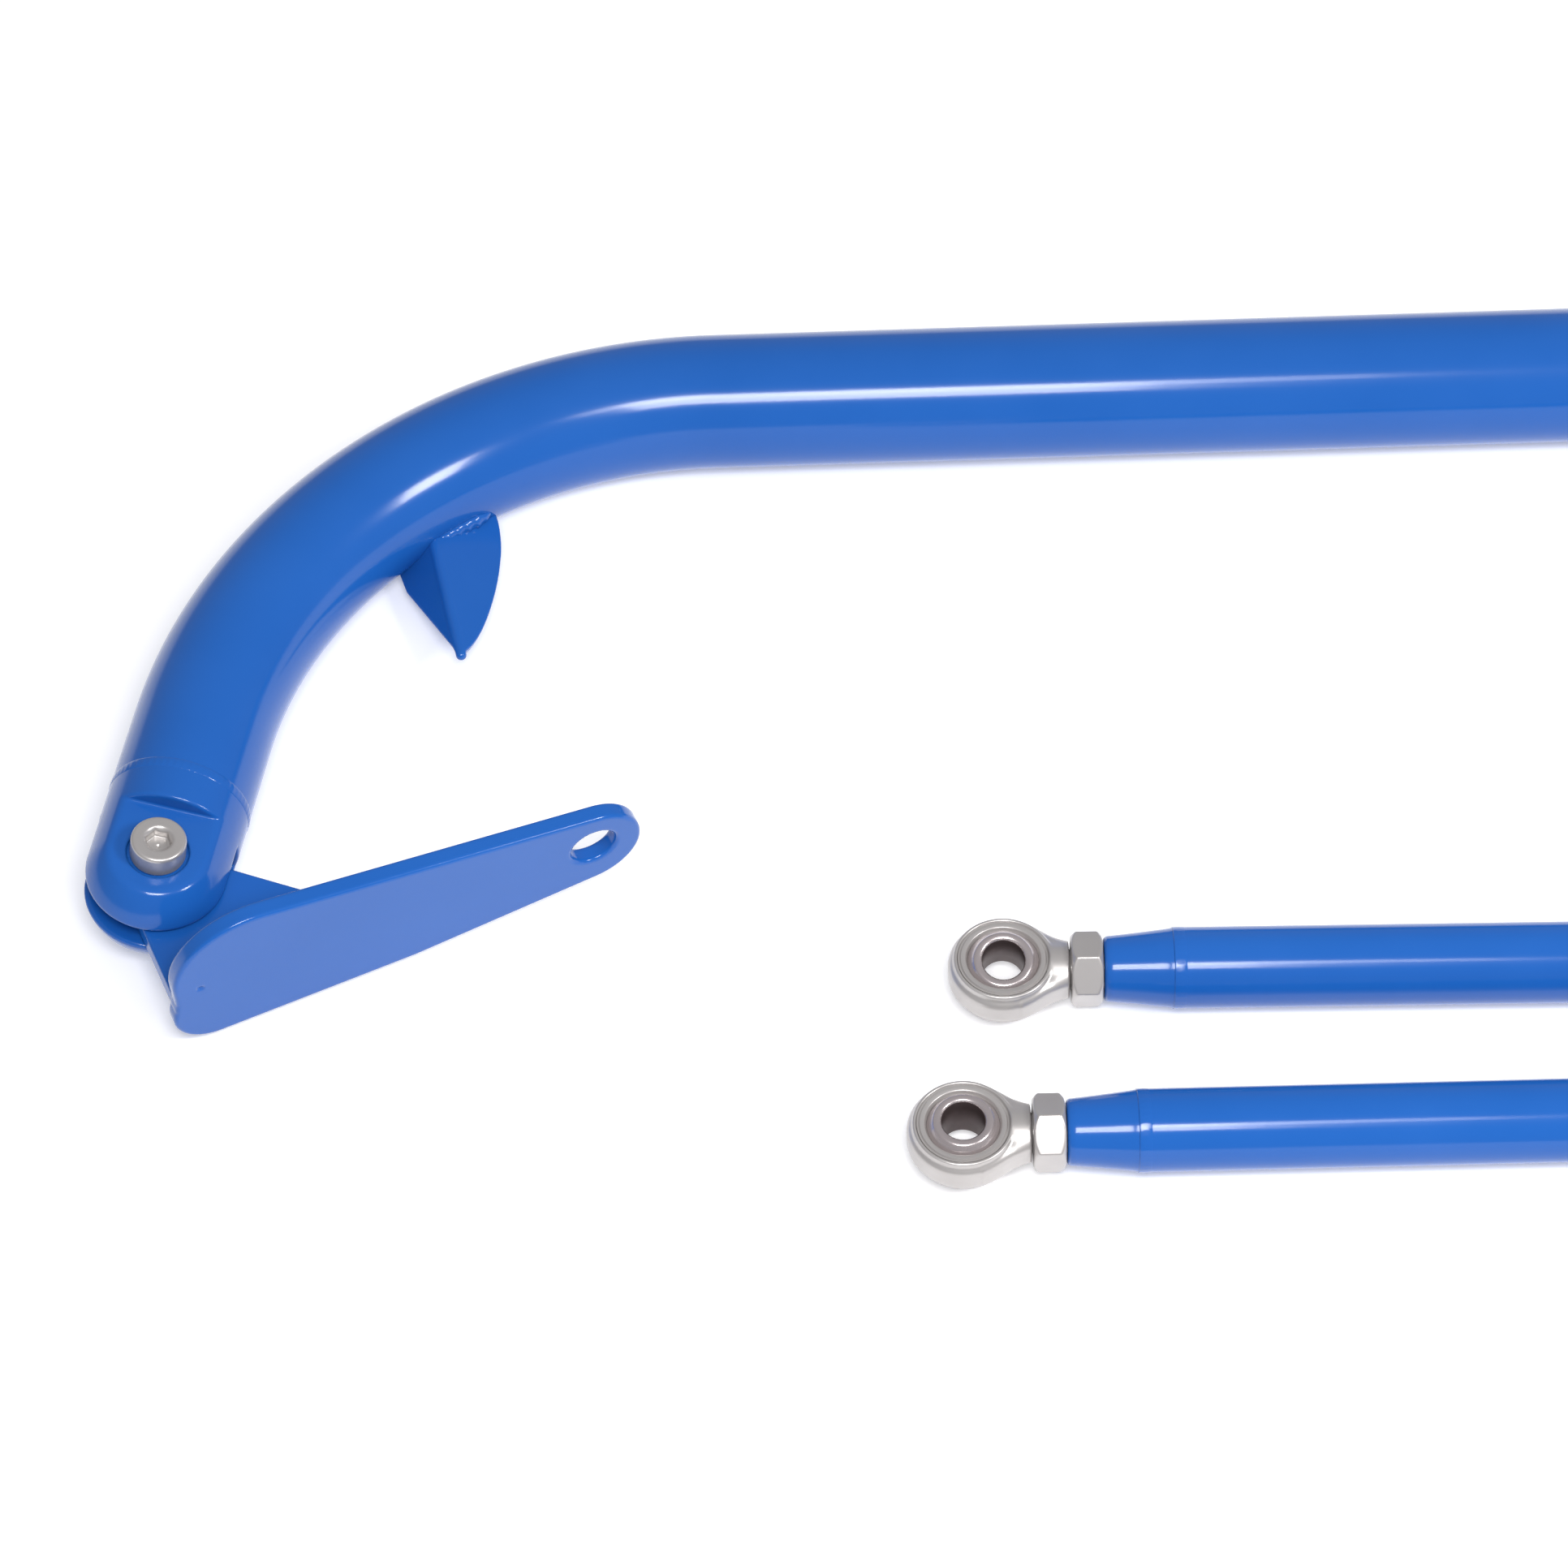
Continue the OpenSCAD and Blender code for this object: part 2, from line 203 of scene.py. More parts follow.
def settle(shape, points, faces, step):
    """Evens out the net's points and lays them exactly on the surface."""
    smoothings, kept, drops = 3, 0.4, 2
    total = len(points)
    pairs = np.concatenate([faces[:, [i, (i + 1) % 4]] for i in range(4)])
    degree = sum(np.bincount(pairs[:, end], minlength=total) for end in (0, 1))
    for turn in range(smoothings + 1):
        if turn < smoothings:
            mean = np.zeros_like(points)
            for a, b in ((0, 1), (1, 0)):
                for k in range(3):
                    mean[:, k] += np.bincount(pairs[:, a], points[pairs[:, b], k], minlength=total)
            points = kept * points + (1 - kept) * mean / degree[:, None]
        for _ in range(drops):
            points = points - drop_to(shape, points, step)
    return points


def drop_to(shape, points, step):
    """The step from each point to the surface, along the distance's slope."""
    h, least_slope = 0.05, 0.5
    slope = np.stack([shape(points + e) - shape(points - e) for e in np.eye(3) * h], -1) / (2 * h)
    d = shape(points)
    size = np.maximum((slope ** 2).sum(1), least_slope ** 2)
    return np.clip(d / size, -step, step)[:, None] * slope


def blend_min(a, b, k):
    """The lesser of two distances, with a fillet of about k where they meet."""
    h = np.clip(0.5 + 0.5 * (b - a) / k, 0, 1)
    return b + (a - b) * h - k * h * (1 - h)


def blend_max(a, b, k):
    """The greater of two distances, with an edge rounded by about k where they meet."""
    return -blend_min(-a, -b, k)


def slab(d2, z, half, edge):
    """Distance to an outline's distance d2 made half + half thick, with round edges."""
    a, b = d2 + edge, np.abs(z) - half + edge
    return np.hypot(np.maximum(a, 0), np.maximum(b, 0)) + np.minimum(np.maximum(a, b), 0) - edge


def outline_field(outline, margin=4.0, step=0.25):
    """Signed distance to a closed outline, sampled on a grid and read back between its points."""
    outline = np.array(outline, float)
    low, high = outline.min(0) - margin, outline.max(0) + margin
    xs, ys = np.arange(low[0], high[0], step), np.arange(low[1], high[1], step)
    points = np.stack(np.meshgrid(xs, ys, indexing="ij"), -1).reshape(-1, 2)
    best = np.full(len(points), 1e9)
    inside = np.zeros(len(points), bool)
    for a, b in zip(outline, np.roll(outline, -1, 0)):
        ab = b - a
        t = np.clip(((points - a) @ ab) / (ab @ ab), 0, 1)
        best = np.minimum(best, ((points - a - t[:, None] * ab) ** 2).sum(1))
        spans = (a[1] > points[:, 1]) != (b[1] > points[:, 1])
        if abs(ab[1]) > 1e-9:
            inside ^= spans & (points[:, 0] < a[0] + (points[:, 1] - a[1]) * ab[0] / ab[1])
    table = (np.sqrt(best) * np.where(inside, -1, 1)).reshape(len(xs), len(ys))

    def read(x, y):
        u = np.clip((x - xs[0]) / step, 0, len(xs) - 1.001)
        v = np.clip((y - ys[0]) / step, 0, len(ys) - 1.001)
        i, j = u.astype(int), v.astype(int)
        fu, fv = u - i, v - j
        return (table[i, j] * (1 - fu) * (1 - fv) + table[i + 1, j] * fu * (1 - fv)
                + table[i, j + 1] * (1 - fu) * fv + table[i + 1, j + 1] * fu * fv)
    return read


def arc(center, radius, start, end, count):
    """Points along an arc, in degrees."""
    angles = np.radians(np.linspace(start, end, count + 1))
    return [(center[0] + radius * math.cos(a), center[1] + radius * math.sin(a)) for a in angles]


def rounded(profile, radius, count=4):
    """A closed profile with each corner turned into a short curve."""
    out = []
    for before, here, after in zip(profile[-1:] + profile[:-1], profile, profile[1:] + profile[:1]):
        here, to_before, to_after = (Vector(p) for p in (here, before, after))
        a, b = to_before - here, to_after - here
        cut = min(radius, 0.45 * a.length, 0.45 * b.length)
        start, end = here + a.normalized() * cut, here + b.normalized() * cut
        for i in range(count + 1):
            t = i / count
            out.append(tuple((1 - t) ** 2 * start + 2 * t * (1 - t) * here + t * t * end))
    return out


def grid_faces(rows, columns, wrap_rows=True, wrap_columns=True):
    """Quads over a grid of points numbered row by row."""
    i = np.arange(rows if wrap_rows else rows - 1)[:, None]
    j = np.arange(columns if wrap_columns else columns - 1)[None, :]
    i2, j2 = (i + 1) % rows, (j + 1) % columns
    quads = np.stack([i * columns + j, i * columns + j2, i2 * columns + j2, i2 * columns + j], -1)
    return quads.reshape(-1, 4)


def lathe(profile, turns=96):
    """A closed profile of (along, radius) turned round the local X axis."""
    turns = int(turns / COARSE)
    profile = np.array(profile)
    angles = np.arange(turns) * 2 * math.pi / turns
    along = np.repeat(profile[None, :, 0], turns, 0)
    y = np.cos(angles)[:, None] * profile[None, :, 1]
    z = np.sin(angles)[:, None] * profile[None, :, 1]
    points = np.stack([along, y, z], -1).reshape(-1, 3)
    return outward(points, grid_faces(turns, len(profile)))


def outward(points, faces):
    """The same mesh with its faces turned outwards."""
    corners = points[faces]
    volume = 0.0
    for k in range(1, corners.shape[1] - 1):
        volume += (corners[:, 0] * np.cross(corners[:, k], corners[:, k + 1])).sum()
    return points, faces if volume > 0 else faces[:, ::-1]


def weld_bead(path, outs, width, height, pitch, closed=False):
    """A bead along a path, with the crescents of a hand-laid weld. Its foot is let in."""
    ripple_depth, crescent, foot = 0.22, 0.45, 0.4
    path, outs = np.array(path, float), np.array(outs, float)
    ahead = np.roll(path, -1, 0) - np.roll(path, 1, 0)
    if not closed:
        ahead[0], ahead[-1] = path[1] - path[0], path[-1] - path[-2]
    ahead /= np.linalg.norm(ahead, axis=1)[:, None]
    sides = np.cross(ahead, outs)
    hops = np.linalg.norm(np.diff(path, axis=0), axis=1)
    s = np.concatenate([[0], np.cumsum(hops)])
    length = s[-1] + (hops[0] if closed else 0)
    if closed:
        pitch = length / round(length / pitch)
    fade = np.ones(len(s))
    if not closed:
        fade = np.clip(np.minimum(s, length - s) / (0.8 * width), 0.03, 1) ** 0.5
    rows = []
    for angle in np.linspace(-90, 90, 9):
        a = math.radians(angle)
        phase = math.pi * (s + crescent * pitch * math.cos(a)) / pitch
        ripple = 1 - ripple_depth * np.abs(np.sin(phase))
        rows.append(path + sides * (0.5 * width * math.sin(a) * fade)[:, None]
                    + outs * (height * math.cos(a) * ripple * fade)[:, None])
    rows.append(path - outs * foot * height)
    points = np.stack(rows, 1)
    count, columns = points.shape[:2]
    faces = list(grid_faces(count, columns, wrap_rows=closed))
    if not closed:
        faces += [list(range(columns)), [(count - 1) * columns + k for k in range(columns)][::-1]]
    return points.reshape(-1, 3), faces


def seam_ring(radius, width, height, pitch):
    """A weld bead round a tube that lies along the local X axis."""
    angles = np.arange(0, 2 * math.pi, 2 * math.pi / int(360 / COARSE))
    outs = np.stack([np.zeros_like(angles), np.cos(angles), np.sin(angles)], -1)
    return weld_bead(outs * radius, outs, width, height, pitch, closed=True)


# ---------------------------------------------------------------- placing pieces

def place(origin, x_axis, z_axis):
    """Matrix from a local frame in millimetres to the row frame in metres."""
    x, z = Vector(x_axis).normalized(), Vector(z_axis).normalized()
    turn = Matrix((x, z.cross(x), z)).transposed().to_4x4()
    return Matrix.Translation(Vector(origin)) @ turn @ Matrix.Scale(MM, 4)


def add_piece(name, mesh, where, material, body, slot, *nodes, sharp=None):
    """A mesh object in its place, riding on its body and standing for its CAD nodes."""
    points, faces = mesh
    matrix = np.array(where)
    points = points @ matrix[:3, :3].T + matrix[:3, 3]
    points[:, 2] = np.maximum(points[:, 2], GROUND)
    faces = [list(face) for face in faces]
    if where.determinant() < 0:
        faces = [face[::-1] for face in faces]
    data = bpy.data.meshes.new(name)
    data.from_pydata(points.tolist(), [], faces)
    data.update()
    data.shade_smooth()
    if sharp:
        data.set_sharp_from_angle(angle=math.radians(sharp))
    data.materials.append(material)
    piece = bpy.data.objects.new(name, data)
    bpy.context.scene.collection.objects.link(piece)
    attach(piece, body)
    if nodes:
        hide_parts(*nodes)
    return piece


# ---------------------------------------------------------------- materials

def group_sockets(group, inputs, outputs):
    """Gives a node group its named inputs and outputs, and returns its two end nodes."""
    for name, kind, value in inputs:
        socket = group.interface.new_socket(name, in_out="INPUT", socket_type=kind)
        socket.default_value = value
    for name, kind in outputs:
        group.interface.new_socket(name, in_out="OUTPUT", socket_type=kind)
    return group.nodes.new("NodeGroupInput"), group.nodes.new("NodeGroupOutput")


def skin_group():
    """Fine skin: a small bump, and a slight change of colour and roughness at a larger scale."""
    group = bpy.data.node_groups.new("fine skin", "ShaderNodeTree")
    color, number = "NodeSocketColor", "NodeSocketFloat"
    inputs = [("Color", color, (0.5, 0.5, 0.5, 1)), ("Tint", color, (0.4, 0.4, 0.4, 1)),
              ("Bump scale", number, 900.0), ("Patch scale", number, 40.0),
              ("Roughness", number, 0.2), ("Spread", number, 0.1)]
    outputs = [("Color", color), ("Roughness", number), ("Height", number)]
    start, end = group_sockets(group, inputs, outputs)
    nodes, link = group.nodes, group.links.new
    texture_place = nodes.new("ShaderNodeTexCoord")
    fine, patch = nodes.new("ShaderNodeTexNoise"), nodes.new("ShaderNodeTexNoise")
    fine.inputs["Detail"].default_value = 2.0
    patch.inputs["Detail"].default_value = 4.0
    for noise, scale in ((fine, "Bump scale"), (patch, "Patch scale")):
        link(texture_place.outputs["Object"], noise.inputs["Vector"])
        link(start.outputs[scale], noise.inputs["Scale"])
    mix = nodes.new("ShaderNodeMix")
    mix.data_type = "RGBA"
    link(patch.outputs["Fac"], mix.inputs["Factor"])
    link(start.outputs["Color"], mix.inputs["A"])
    link(start.outputs["Tint"], mix.inputs["B"])
    rough = nodes.new("ShaderNodeMath")
    rough.operation = "MULTIPLY_ADD"
    link(patch.outputs["Fac"], rough.inputs[0])
    link(start.outputs["Spread"], rough.inputs[1])
    link(start.outputs["Roughness"], rough.inputs[2])
    link(mix.outputs["Result"], end.inputs["Color"])
    link(rough.outputs["Value"], end.inputs["Roughness"])
    link(fine.outputs["Fac"], end.inputs["Height"])
    return group


SKIN = skin_group()


def skinned_material(name, color, tint, bump_scale, patch_scale, roughness, spread, bump,
                     **constants):
    """A Principled material fed by the fine skin. Constants go on the shader's own sockets."""
    material = bpy.data.materials.new(name)
    material.use_nodes = True
    nodes, link = material.node_tree.nodes, material.node_tree.links.new
    shader = nodes["Principled BSDF"]
    skin = nodes.new("ShaderNodeGroup")
    skin.node_tree = SKIN
    skin.inputs["Color"].default_value = (*color, 1)
    skin.inputs["Tint"].default_value = (*tint, 1)
    for socket, value in (("Bump scale", bump_scale), ("Patch scale", patch_scale),
                          ("Roughness", roughness), ("Spread", spread)):
        skin.inputs[socket].default_value = value
    relief = nodes.new("ShaderNodeBump")
    relief.inputs["Strength"].default_value = 1.0
    relief.inputs["Distance"].default_value = bump
    link(skin.outputs["Height"], relief.inputs["Height"])
    link(skin.outputs["Color"], shader.inputs["Base Color"])
    link(skin.outputs["Roughness"], shader.inputs["Roughness"])
    link(relief.outputs["Normal"], shader.inputs["Normal"])
    for socket, value in constants.items():
        shader.inputs[socket.replace("_", " ")].default_value = value
    return material


def blue_powder_coat():
    return skinned_material("blue powder coat", (0.007, 0.087, 0.36), (0.014, 0.105, 0.405),
                            bump_scale=900, patch_scale=26, roughness=0.13, spread=0.06,
                            bump=0.000003, Coat_Weight=0.12, Coat_Roughness=0.06, IOR=1.38)


def zinc_plate():
    return skinned_material("zinc plate", (0.53, 0.51, 0.495), (0.44, 0.415, 0.405),
                            bump_scale=700, patch_scale=90, roughness=0.27, spread=0.12,
                            bump=0.000005, Metallic=0.62)


def polished_steel():
    return skinned_material("polished steel", (0.62, 0.56, 0.56), (0.52, 0.46, 0.46),
                            bump_scale=500, patch_scale=60, roughness=0.18, spread=0.10,
                            bump=0.000004, Metallic=0.8)


# Painted shade: a darker copy of the polished steel for the inside of each ball's bore, where shade
# falls.
def painted_shade_bore_steel():
    return skinned_material("bore steel painted shade", (0.16, 0.12, 0.12), (0.10, 0.075, 0.075),
                            bump_scale=400, patch_scale=80, roughness=0.42, spread=0.12,
                            bump=0.000006, Metallic=0.85)


def white_nylon():
    return skinned_material("white nylon", (0.80, 0.80, 0.76), (0.74, 0.74, 0.70),
                            bump_scale=800, patch_scale=60, roughness=0.45, spread=0.1,
                            bump=0.000006)


BLUE = blue_powder_coat()
ZINC = zinc_plate()
STEEL = polished_steel()
# The darker bore steel is painted shade for the inside of the balls' bores.
BORE_SHADE = painted_shade_bore_steel()
NYLON = white_nylon()
BLUE_SLOT, ZINC_SLOT, NYLON_SLOT = "blue_powder_coat", "zinc_plate", "washer_nylon"


# ---------------------------------------------------------------- main bar

def bar_places():
    """Pivot, leg direction, bolt direction and bend numbers of the left end, from its hinge."""
    hinge = JOINTS["bracket_left_swing"]
    pivot, bolt = Vector(hinge["pos_m"]), Vector(hinge["axis"])
    sideways = Vector((bolt.x, bolt.y, 0)).normalized()
    leg = Vector((sideways.y, -sideways.x, 0))
    bar_r = pivot.z / MM
    bar_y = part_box("main_tube")[1].y / MM - bar_r
    angle = math.atan2(-leg.y, -leg.x)
    drop = bar_y - pivot.y / MM
    reach = (drop - BEND_R * (1 - math.cos(angle))) / math.sin(angle)
    straight = -pivot.x / MM - BEND_R * math.sin(angle) - reach * math.cos(angle)
    return {"pivot": pivot, "bolt": bolt, "leg": leg, "r": bar_r, "y": bar_y,
            "angle": angle, "reach": reach, "straight": straight}


BAR = bar_places()
FORK_PLACE = place(BAR["pivot"], BAR["leg"], BAR["bolt"])
SIDES = {"left": Matrix.Identity(4), "right": MIRROR_X}


def bend_point(angle, radius, height=0.0):
    """A point by its angle and radius round the left bend's centre, in row millimetres."""
    return np.array([-BAR["straight"] - radius * math.sin(angle),
                     BAR["y"] - BEND_R + radius * math.cos(angle), BAR["r"] + height])


def tube_path():
    """Centre points and directions of the whole main tube, from the left seam to the right seam."""
    half = []
    out = np.array(BAR["leg"])
    end = bend_point(BAR["angle"], BEND_R)
    stub = BAR["reach"] - SEAM_BACK
    for t in np.linspace(stub, 0, 4)[:-1]:
        half.append((end + out * t, -out))
    for a in np.linspace(BAR["angle"], 0, int(64 / COARSE)):
        half.append((bend_point(a, BEND_R), np.array([math.cos(a), math.sin(a), 0])))
    flip = np.array([-1, 1, 1])
    other = [(p * flip, -d * flip) for p, d in reversed(half)]
    return half + other


def main_tube():
    """The bent tube, with its wall and its open ends."""
    path = tube_path()
    turns = int(ROUND_TURNS / COARSE)
    angles = np.arange(turns) * 2 * math.pi / turns
    rings = []
    up = np.array([0, 0, 1.0])
    for radius in (BAR["r"], BAR["r"] - TUBE_WALL):
        layer = []
        for center, ahead in path:
            side = np.cross(ahead, up)
            outs = np.cos(angles)[:, None] * side + np.sin(angles)[:, None] * up
            layer.append(center + radius * outs)
        rings.append(np.array(layer))
    loop = np.concatenate([rings[0], rings[1][::-1]])
    points, faces = outward(loop.reshape(-1, 3), grid_faces(len(loop), turns))
    add_piece("main_tube_coated", (points, faces), Matrix.Scale(MM, 4), BLUE, "bar", BLUE_SLOT,
              "main_tube", sharp=40)


def fork_shape(p):
    """A round-nosed end with milled flats, a slot for the tongue and a seat for the bolt's head."""
    x, y, z = p.T
    r = BAR["r"]
    d = np.where(x > 0, np.sqrt((p ** 2).sum(1)), np.hypot(y, z)) - r
    d = blend_max(d, -SEAM_BACK - x, 0.3)
    flats = np.maximum(-STEP_BACK - x, FLAT_H - np.abs(z))
    d = blend_max(d, -flats, 1.0)
    slot = np.maximum(-SLOT_ROOT - x, np.abs(z) - SLOT_W / 2)
    d = blend_max(d, -slot, 1.6)
    seat = np.maximum(np.hypot(x, y) - HEAD_R - HEAD_GAP, FLAT_H - HEAD_SEAT - z)
    d = blend_max(d, -seat, 0.5)
    return np.maximum(d, BOLT_R + BOLT_PLAY - np.hypot(x, y))


def bolt_shape(p):
    """The pivot bolt: a shank and a round head with a hexagon socket."""
    x, y, z = p.T
    radial = np.hypot(x, y)
    top = FLAT_H + HEAD_H
    shank = np.maximum(radial - BOLT_R, np.abs(z) - FLAT_H + 0.02)
    half = (top - HEAD_FOOT) / 2
    head = slab(radial - HEAD_R, z - HEAD_FOOT - half, half, 1.0)
    d = np.minimum(shank, head)
    hexagon = np.max([x * math.cos(a) + y * math.sin(a) for a in HEX], 0) - SOCKET_R
    recess = np.maximum(hexagon, top - SOCKET_DEPTH - z)
    cone = radial - SOCKET_MOUTH_R + (top - z)
    return blend_max(blend_max(d, -recess, 0.4), -cone, 0.4)


def fork_end():
    """Fork, pivot bolt, weld seam and the two thin washers at each end of the bar."""
    r, bore = BAR["r"], BOLT_R + BOLT_PLAY
    fork = surface_net(fork_shape, (-SEAM_BACK, -r, -r), (r, r, r), 0.55)
    bolt = surface_net(bolt_shape, (-HEAD_R, -HEAD_R, -FLAT_H),
                       (HEAD_R, HEAD_R, FLAT_H + HEAD_H), 0.3)
    seam = seam_ring(r - 0.12, **FORK_SEAM)
    section = [(0.0, bore), (WASHER_T, bore), (WASHER_T, WASHER_R), (0.0, WASHER_R)]
    washer = lathe(rounded(section, 0.15), WASHER_TURNS)
    for side, mirror in SIDES.items():
        where = mirror @ FORK_PLACE
        add_piece("fork_end_" + side, fork, where, BLUE, "bar", BLUE_SLOT, "fork_" + side)
        add_piece("bolt_" + side, bolt, where, ZINC, "bar", ZINC_SLOT, "pivot_bolt_" + side)
        back = where @ Matrix.Translation((-SEAM_BACK, 0, 0))
        add_piece("fork_seam_" + side, seam, back, BLUE, "bar", BLUE_SLOT, "fork_weld_" + side)
        for level, up in (("upper", 1), ("lower", -1)):
            lift = Matrix.Translation((0, 0, up * (SLOT_W / 2 - WASHER_T)))
            stand = where @ lift @ Matrix.Rotation(-up * math.pi / 2, 4, "Y")
            nodes = ("pivot_washers_" + side,) if up > 0 else ()
            add_piece(level + "_washer_" + side, washer, stand, NYLON, "bar", NYLON_SLOT,
                      *nodes)


# ---------------------------------------------------------------- guide fin

RIDGE_BASE = (125, 39.5, 16)
FIN_TIP = (90.6, 51.6, 11.9)
FIN_BOWS = ((88.5, 45.5, 10), (105, 32, 7.5))
FIN_ROOT = (126, 30, 10)
FIN_HEEL = (121.5, 45.4, 4.5)
FIN_TOE = (131, 43.3, 4.5)
FIN_T = 3


def fin_point(spot):
    """A point of the fin from its radius, its angle in degrees and its height over the ground."""
    radius, degrees, height = spot
    return bend_point(math.radians(degrees), radius, height - BAR["r"])


def bowed_edge():
    """The fin's long curved edge, from its tip to its root on the tube."""
    spots = np.array([FIN_TIP, *FIN_BOWS, FIN_ROOT])
    points = []
    for t in np.linspace(0, 1, 25):
        weights = np.array([(1 - t) ** 3, 3 * t * (1 - t) ** 2, 3 * t * t * (1 - t), t ** 3])
        points.append(fin_point(weights @ spots))
    return points


def flat_plate(corners, thickness, edge):
    """Distance to a flat plate with this outline, in its first, second and last corners' plane."""
    origin = corners[0]
    u = corners[1] - origin
    u = u / np.linalg.norm(u)
    normal = np.cross(u, corners[-1] - origin)
    normal = normal / np.linalg.norm(normal)
    v = np.cross(normal, u)
    read = outline_field([((c - origin) @ u, (c - origin) @ v) for c in corners])

    def shape(p):
        across = p - origin
        return slab(read(across @ u, across @ v), across @ normal, thickness / 2, edge)
    return shape


def fin_shape():
    """The folded fin: two plates that meet at a ridge, cut to the tube."""
    base, tip, heel, toe = (fin_point(spot) for spot in (RIDGE_BASE, FIN_TIP, FIN_HEEL, FIN_TOE))
    right = flat_plate([base] + bowed_edge(), FIN_T, 0.5)
    left = flat_plate([base, tip, heel, toe], FIN_T, 0.5)
    ridge = tip - base
    center = bend_point(0, 0)

    def shape(p):
        t = np.clip((p - base) @ ridge / (ridge @ ridge), 0, 1)
        fold = np.linalg.norm(p - base - t[:, None] * ridge, axis=1) - FIN_T / 2
        d = blend_min(blend_min(right(p), left(p), 1.2), fold, 0.6)
        ring = np.hypot(p[:, 0] - center[0], p[:, 1] - center[1]) - BEND_R
        return np.maximum(d, BAR["r"] - 0.3 - np.hypot(ring, p[:, 2] - center[2]))
    return shape


def fin_bead():
    """Weld along the fin's base, on the inner side of the bend."""
    turn = math.radians(-14)
    path, outs = [], []
    for degrees in np.linspace(31, 40.5, 60):
        a = math.radians(degrees)
        inward = np.array([math.sin(a), -math.cos(a), 0])
        out = inward * math.cos(turn) + np.array([0, 0, math.sin(turn)])
        path.append(bend_point(a, BEND_R) + out * (BAR["r"] - 0.2))
        outs.append(out)
    return weld_bead(path, outs, 5.2, 2.5, 3.2)


def guide_fin():
    """The folded fin and its weld inside each bend."""
    spots = [fin_point(s) for s in (RIDGE_BASE, FIN_HEEL, FIN_TOE)] + bowed_edge()
    low, high = np.min(spots, 0) - FIN_T, np.max(spots, 0) + FIN_T
    fin = surface_net(fin_shape(), low, high, 0.5)
    bead = fin_bead()
    for side, mirror in SIDES.items():
        where = mirror @ Matrix.Scale(MM, 4)
        add_piece("fin_" + side, fin, where, BLUE, "bar", BLUE_SLOT, "guide_fin_" + side)
        add_piece("fin_bead_" + side, bead, where, BLUE, "bar", BLUE_SLOT, "guide_weld_" + side)


# ---------------------------------------------------------------- anchor brackets

def bracket_place():
    """X along the anchor plate, Y to its front, Z along the bolt, from the plate's own mount."""
    mount = MOUNTS["anchor_hole_left"]
    front, bolt = Vector(mount["axis"]), BAR["bolt"]
    along = bolt.cross(front).normalized()
    turn = Matrix((along, front, bolt)).transposed().to_4x4()
    return Matrix.Translation(BAR["pivot"]) @ turn @ Matrix.Scale(MM, 4)


def tongue_outline():
    """Outline of the flat tongue: round at the pivot, flaring out to the plate."""
    back = PLATE_FRONT - PLATE_T + 0.5
    flare = math.radians(FLARE)
    reach = (TONGUE_R + back * math.cos(flare)) / math.sin(flare)
    return arc((0, 0), TONGUE_R, FLARE - 90, -180, 32) + [(-TONGUE_R, back), (reach, back)]


def tangent_degrees(c1, r1, c2, r2):
    """Direction of the lower common tangent's touching point, seen from the circles' centres."""
    dx, dy = c2[0] - c1[0], c2[1] - c1[1]
    return math.degrees(math.atan2(dy, dx) - math.acos((r1 - r2) / math.hypot(dx, dy)))


def plate_outline():
    """Outline of the anchor plate: round end, shoulder, dented heel, lobe and a slight belly."""
    end = (PLATE_REACH, PLATE_TOP - END_R)
    end_low = tangent_degrees(BELLY, 0, end, END_R)
    heel_low = tangent_degrees(LOBE, LOBE_R, BELLY, 0)
    return (arc(end, END_R, end_low, 90, 40) + arc(SHOULDER, SHOULDER_R, 90, 180, 30) + HEEL
            + arc(LOBE, LOBE_R, 168, 360 + heel_low, 28) + [BELLY])


def fillet_bead():
    """Weld in the upper corner between tongue and plate."""
    span = np.linspace(3 - TONGUE_R, FILLET_END, 120)
    diagonal = np.array([0, -1, 1]) / math.sqrt(2)
    back = np.full_like(span, PLATE_FRONT - PLATE_T - 1.0)
    line = np.stack([span, back, np.full_like(span, PLATE_T / 2 + 1.0)], -1)
    outs = np.tile(diagonal, (len(span), 1))
    return weld_bead(line, outs, width=4.2, height=1.3, pitch=2.4)


def anchor_bracket():
    """Tongue, anchor plate and the two fillet welds between them, at each end of the bar."""
    read_tongue, read_plate = outline_field(tongue_outline()), outline_field(plate_outline())
    hole_r = MOUNTS["anchor_hole_left"]["dims"]["r_mm"]
    middle = PLATE_FRONT - PLATE_T / 2

    def tongue_shape(p):
        x, y, z = p.T
        d = slab(read_tongue(x, y), z, PLATE_T / 2, 0.7)
        return np.maximum(d, BOLT_R + TONGUE_PLAY - np.hypot(x, y))

    def plate_shape(p):
        x, y, z = p.T
        d = slab(read_plate(x, z), y - middle, PLATE_T / 2, 1.0)
        d = blend_max(d, hole_r - np.hypot(x - HOLE[0], z - HOLE[1]), 1.2)
        pip = np.sqrt(((p - PIP) ** 2).sum(1)) - PIP_R
        return blend_max(d, -pip, 0.3)

    room = PLATE_T / 2 + 0.5
    tongue = surface_net(tongue_shape, (-TONGUE_R, -TONGUE_R, -room),
                         (62, PLATE_FRONT - 4, room), 0.55)
    low, high = np.min(plate_outline(), 0), np.max(plate_outline(), 0)
    plate = surface_net(plate_shape, (low[0], middle - room, low[1]),
                        (high[0], middle + room, high[1]), 0.55)
    bead = fillet_bead()
    where = bracket_place()
    for side, mirror in SIDES.items():
        body, spot = "bracket_" + side, mirror @ where
        for piece, mesh, node in (("bracket_tongue_", tongue, "tongue_"),
                                  ("bracket_plate_", plate, "anchor_plate_"),
                                  ("upper_fillet_", bead, "bracket_weld_")):
            add_piece(piece + side, mesh, spot, BLUE, body, BLUE_SLOT, node + side)
        under = spot @ Matrix.Scale(-1, 4, (0, 0, 1))
        add_piece("lower_fillet_" + side, bead, under, BLUE, body, BLUE_SLOT)


# ---------------------------------------------------------------- support rods

